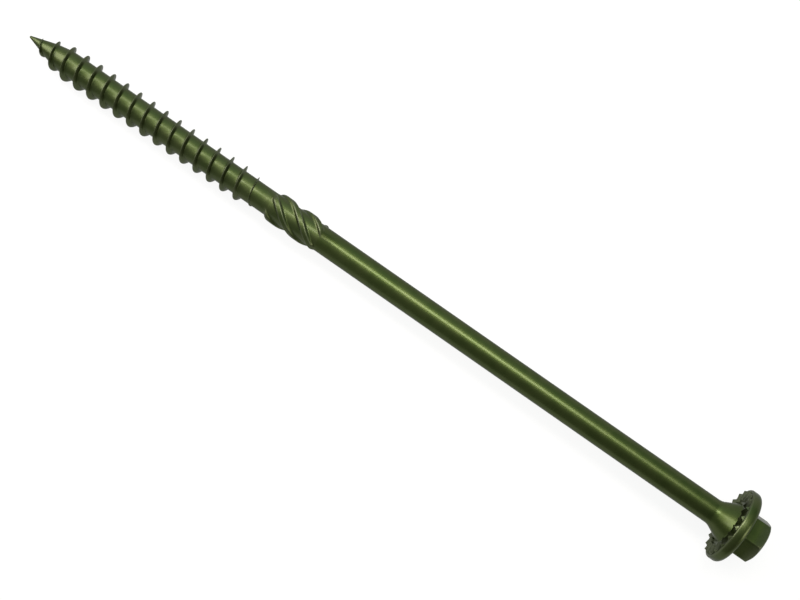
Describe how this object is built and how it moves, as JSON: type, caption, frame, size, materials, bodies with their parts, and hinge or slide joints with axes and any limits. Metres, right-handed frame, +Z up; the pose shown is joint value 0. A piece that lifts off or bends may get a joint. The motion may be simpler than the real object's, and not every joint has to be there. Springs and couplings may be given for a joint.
{
  "type": "hex flange construction screw",
  "caption": "Long coated steel timber screw with a hex flange head, a plain shank, a twisted reamer and a coarse right-hand thread running to a sharp point.",
  "frame": {"origin": "on the surface that the screw lies on, under the middle of its bounding box", "axes": "+X runs from the point towards the head, along the screw as it lies; +Z is up"},
  "size_m": [0.1666, 0.015, 0.015],
  "materials": {
    "coated_steel": "dark olive green metallic coating, satin gloss"
  },
  "bodies": {
    "root": {"screw": "coated_steel"}
  },
  "joints": []
}
